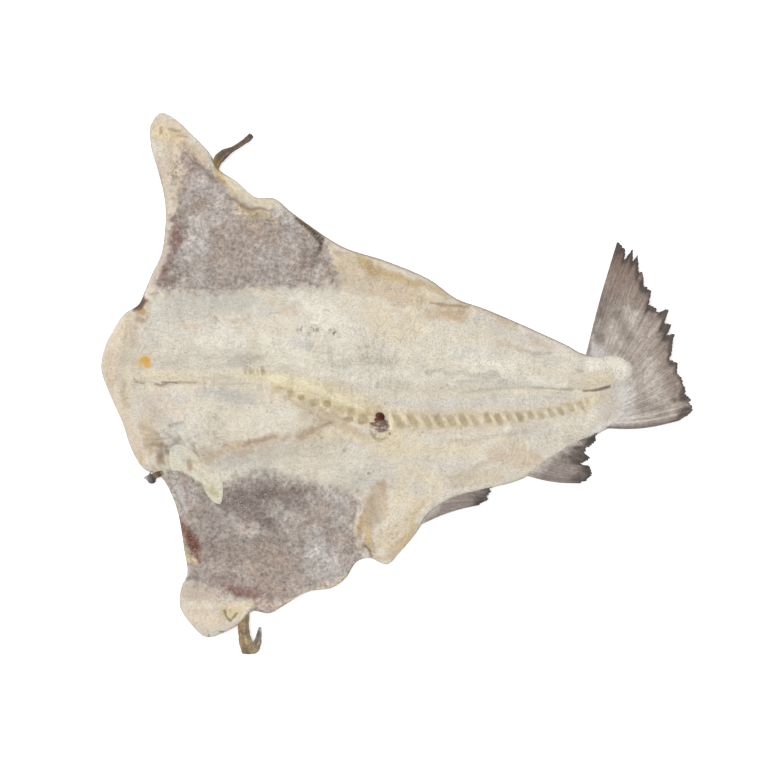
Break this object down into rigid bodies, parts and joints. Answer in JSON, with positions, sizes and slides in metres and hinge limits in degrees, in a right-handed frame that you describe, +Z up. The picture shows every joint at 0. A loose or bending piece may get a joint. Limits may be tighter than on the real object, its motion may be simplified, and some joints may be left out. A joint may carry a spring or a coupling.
{
  "type": "salted dried cod",
  "caption": "Headless split cod, opened flat, salted and dried: thick fillets either side of the backbone, thin belly flaps, ragged tail and anal fins. Lies flat on its skin.",
  "frame": {"origin": "middle of the ground that the fish covers, at the level that its skin rests on", "axes": "+X from the cut head end to the tail, +Y across the open fish toward the longer belly flap, +Z up, out of the flesh side"},
  "size_m": [0.6008, 0.549, 0.0225],
  "materials": {
    "salted_cod": "dry, salt-dusted cream flesh; grey belly lining; grey-brown skin and fins"
  },
  "bodies": {
    "root": {"split_cod": "salted_cod"}
  },
  "joints": []
}
